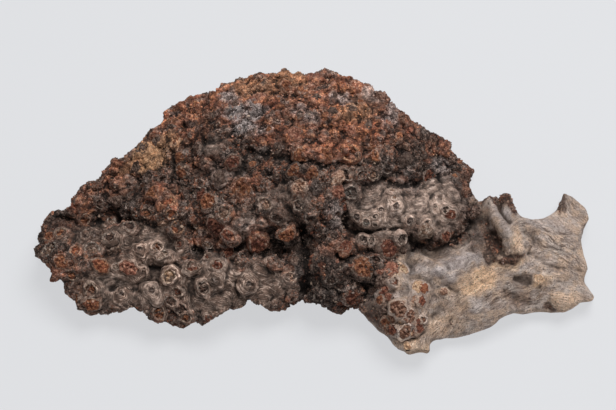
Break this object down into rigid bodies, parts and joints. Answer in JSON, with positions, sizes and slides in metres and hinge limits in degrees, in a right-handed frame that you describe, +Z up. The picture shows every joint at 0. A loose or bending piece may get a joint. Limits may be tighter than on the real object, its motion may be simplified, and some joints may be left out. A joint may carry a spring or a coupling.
{
  "type": "poplar burl",
  "caption": "Knobbly poplar burl in bark with bud rings, running out into a plate of grey weathered wood with a horn, lying on its hollow side.",
  "frame": {"origin": "middle of the burl's box, on the surface that it lies on", "axes": "+X along its length, towards the grey wood and its horn; +Z up; the picture looks along +Y and down"},
  "size_m": [0.5402, 0.3202, 0.1406],
  "materials": {
    "bark_and_wood": "rough bark and grey weathered wood, matt"
  },
  "bodies": {
    "root": {"burl": "bark_and_wood"}
  },
  "joints": []
}
